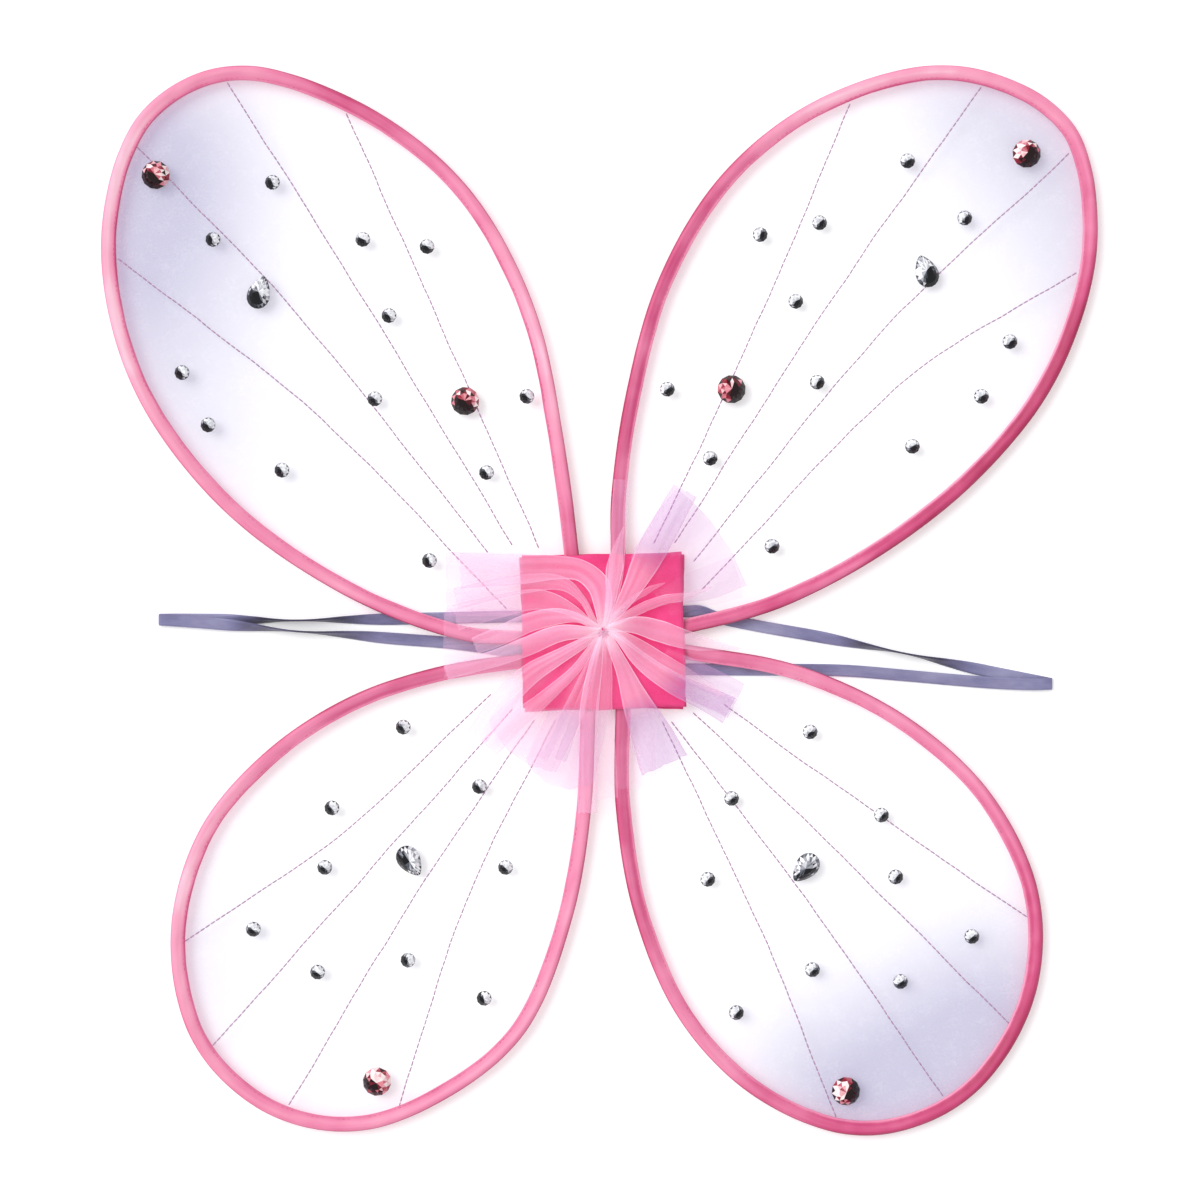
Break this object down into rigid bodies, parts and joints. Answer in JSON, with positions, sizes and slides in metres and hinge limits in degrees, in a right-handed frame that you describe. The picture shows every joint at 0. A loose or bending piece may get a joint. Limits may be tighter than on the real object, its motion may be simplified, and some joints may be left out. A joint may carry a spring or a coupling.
{
  "type": "fairy wings",
  "caption": "Child's dress-up fairy wings: wire loops covered in sheer organza with satin edging, a sewn patch with a gathered rosette, glued stones and elastic shoulder loops.",
  "frame": {"origin": "centre of the back patch's outer face, which lies against the wearer's back", "axes": "+Z out of the decorated front, +Y towards the wearer's head, +X to the wearer's right; the wings lie on their back"},
  "size_m": [0.4188, 0.4496, 0.0201],
  "materials": {
    "felt": "matte",
    "satin": "satin sheen",
    "organza": "sheer with a fine shimmer",
    "tulle": "sheer, softly crumpled",
    "thread": "matte",
    "wire": "drawn",
    "cloth_tape": "matte",
    "elastic": "ribbed, slight sheen",
    "clear_stone": "faceted, mirror backed",
    "pink_stone": "faceted, mirror backed"
  },
  "bodies": {
    "hub": {"back_patch": "felt", "front_patch": "felt", "wire_wrap": "cloth_tape", "upper_left_wire_root": "wire", "upper_right_wire_root": "wire", "lower_left_wire_root": "wire", "lower_right_wire_root": "wire", "left_strap_tail_top": "elastic", "left_strap_tail_bottom": "elastic", "right_strap_tail_top": "elastic", "right_strap_tail_bottom": "elastic", "rosette_skirt": "tulle", "rosette_crown": "tulle", "rosette_tie": "thread"},
    "upper_left_wing": {"upper_left_wire": "wire", "upper_left_binding": "satin", "upper_left_organza": "organza", "upper_left_round_stone_1": "pink_stone", "upper_left_round_stone_2": "pink_stone", "upper_left_pear_stone": "clear_stone"},
    "upper_right_wing": {"upper_right_wire": "wire", "upper_right_binding": "satin", "upper_right_organza": "organza", "upper_right_round_stone_1": "pink_stone", "upper_right_round_stone_2": "pink_stone", "upper_right_pear_stone": "clear_stone"},
    "lower_left_wing": {"lower_left_wire": "wire", "lower_left_binding": "satin", "lower_left_organza": "organza", "lower_left_round_stone_1": "pink_stone", "lower_left_pear_stone": "clear_stone"},
    "lower_right_wing": {"lower_right_wire": "wire", "lower_right_binding": "satin", "lower_right_organza": "organza", "lower_right_round_stone_1": "pink_stone", "lower_right_pear_stone": "clear_stone"},
    "left_shoulder_strap": {"left_strap": "elastic"},
    "right_shoulder_strap": {"right_strap": "elastic"}
  },
  "joints": [
    {"name": "upper_left_flex", "type": "hinge", "parent": "hub", "child": "upper_left_wing", "pos_m": [-0.02325, 0.0145, 0.0048], "axis": [0.5196, 0.8544, 0], "range_deg": [0, 45], "stiffness_Nm_per_rad": 0.12, "deforming": ["rosette_skirt", "rosette_crown"]},
    {"name": "upper_right_flex", "type": "hinge", "parent": "hub", "child": "upper_right_wing", "pos_m": [0.01975, 0.017, 0.0048], "axis": [0.6778, -0.7352, 0], "range_deg": [0, 45], "stiffness_Nm_per_rad": 0.12, "deforming": ["rosette_skirt", "rosette_crown"]},
    {"name": "lower_left_flex", "type": "hinge", "parent": "hub", "child": "lower_left_wing", "pos_m": [-0.01975, -0.022, 0.0048], "axis": [-0.8016, 0.5978, 0], "range_deg": [0, 45], "stiffness_Nm_per_rad": 0.12, "deforming": ["rosette_skirt", "rosette_crown"]},
    {"name": "lower_right_flex", "type": "hinge", "parent": "hub", "child": "lower_right_wing", "pos_m": [0.02075, -0.02, 0.0048], "axis": [-0.7266, -0.687, 0], "range_deg": [0, 45], "stiffness_Nm_per_rad": 0.12, "deforming": ["rosette_skirt", "rosette_crown"]},
    {"name": "left_strap_swing", "type": "hinge", "parent": "hub", "child": "left_shoulder_strap", "pos_m": [-0.0355, 0, 0.0022], "axis": [0, -1, 0], "range_deg": [0, 100]},
    {"name": "right_strap_swing", "type": "hinge", "parent": "hub", "child": "right_shoulder_strap", "pos_m": [0.0355, 0, 0.0022], "axis": [0, 1, 0], "range_deg": [0, 100]}
  ]
}
